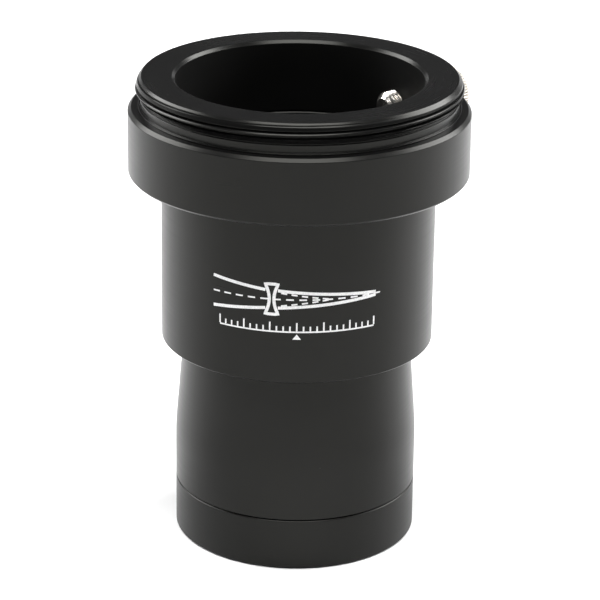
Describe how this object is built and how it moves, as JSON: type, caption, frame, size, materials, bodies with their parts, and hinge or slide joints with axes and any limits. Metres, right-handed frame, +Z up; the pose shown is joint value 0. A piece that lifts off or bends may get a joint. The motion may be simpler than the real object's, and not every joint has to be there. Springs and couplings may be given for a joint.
{
  "type": "barlow lens",
  "caption": "Telescope Barlow lens: 1.25 inch nosepiece with a screw-in lens cell, an eyepiece socket with a radial thumbscrew, and a male T-thread around the socket's mouth.",
  "frame": {"origin": "on the optical axis, in the plane of the nosepiece's bottom end", "axes": "+Z up the optical axis towards the eyepiece; -Y is the front, which carries the marking; +X is to the right seen from the front"},
  "size_m": [0.0444, 0.044, 0.0619],
  "materials": {
    "black_anodised": "fine satin black anodised",
    "matt_black": "matt black anodised",
    "nickel_plate": "turned and nickel plated",
    "crown_glass": "polished, green anti-reflection coating",
    "flint_glass": "polished, violet anti-reflection coating"
  },
  "bodies": {
    "housing": {"body_tube": "black_anodised", "thumbscrew_collar": "black_anodised", "t_thread_ring": "black_anodised", "nose_barrel": "black_anodised", "light_baffle": "matt_black"},
    "screw_stud": {"thumbscrew_stud": "nickel_plate"},
    "screw_head": {"thumbscrew_knob": "nickel_plate"},
    "lens_glass": {"negative_element": "crown_glass", "positive_element": "flint_glass"},
    "lens_housing": {"lens_cell": "black_anodised", "lens_retaining_ring": "matt_black"}
  },
  "joints": [
    {"name": "lens_cell_turn", "type": "hinge", "parent": "lens_housing", "child": "lens_glass", "pos_m": [0, 0, 0.007], "axis": [0, 0, 1], "range_deg": [0, 2520]},
    {"name": "lens_cell_advance", "type": "slide", "parent": "lens_glass", "child": "housing", "axis": [0, 0, 1], "range_m": [0, 0.00422]},
    {"name": "thumbscrew_advance", "type": "slide", "parent": "housing", "child": "screw_stud", "axis": [0.7771, 0.6293, 0], "range_m": [-0.00035, 0.00315]},
    {"name": "thumbscrew_turn", "type": "hinge", "parent": "screw_stud", "child": "screw_head", "pos_m": [0.01741, 0.0141, 0.055], "axis": [0.7771, 0.6293, 0], "range_deg": [-181, 1621]}
  ],
  "couplings": [
    {"joint": "thumbscrew_turn", "follows": "thumbscrew_advance", "rad_per_m": 8976},
    {"joint": "lens_cell_advance", "follows": "lens_cell_turn", "m_per_rad": 0.000095493}
  ]
}
